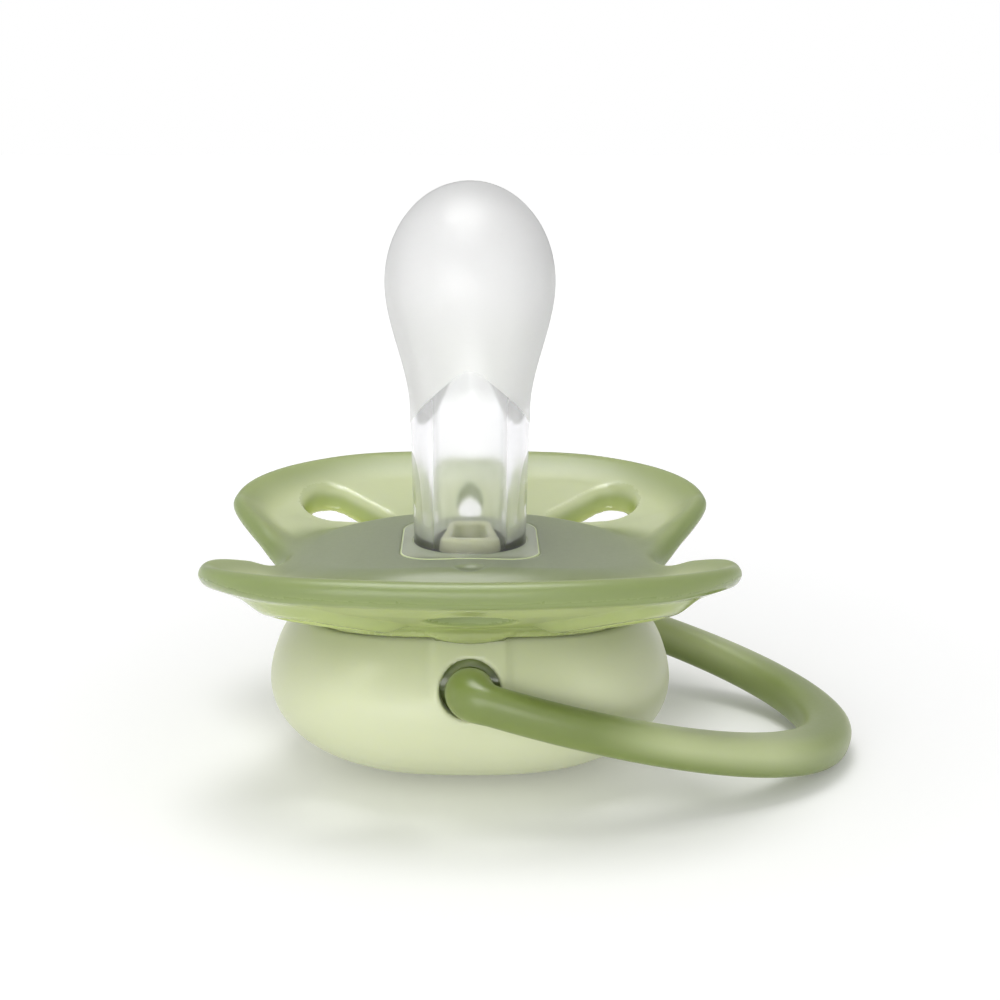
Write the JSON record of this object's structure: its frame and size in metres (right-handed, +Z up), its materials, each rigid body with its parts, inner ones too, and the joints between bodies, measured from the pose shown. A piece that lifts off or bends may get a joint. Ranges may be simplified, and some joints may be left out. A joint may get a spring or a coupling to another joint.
{
  "type": "baby soother with ring handle",
  "caption": "Baby soother: curved vented shield with a soft hollow teat, a rounded knob behind it and a folding ring handle hinged in the knob's side windows.",
  "frame": {"origin": "middle of the knob's flat resting face, on the teat's centre line", "axes": "+Z up along the teat, +X to the side where the ring handle lies, Y along the ring's hinge axis and the shield's long side"},
  "size_m": [0.0557, 0.0506, 0.05],
  "materials": {
    "shield": "satin, translucent green polypropylene",
    "teat": "frosted bulb and clear glossy neck, silicone",
    "plug": "satin cream-green polypropylene",
    "knob": "satin pale yellow-green polypropylene",
    "ring": "satin, translucent green polypropylene"
  },
  "bodies": {
    "soother_body": {"shield": "shield", "teat": "teat", "plug": "plug", "knob": "knob"},
    "ring_handle": {"ring": "ring"}
  },
  "joints": [
    {"name": "ring_hinge", "type": "hinge", "parent": "soother_body", "child": "ring_handle", "pos_m": [0, 0, 0.0105], "axis": [0, 1, 0], "range_deg": [-27, 176]}
  ]
}
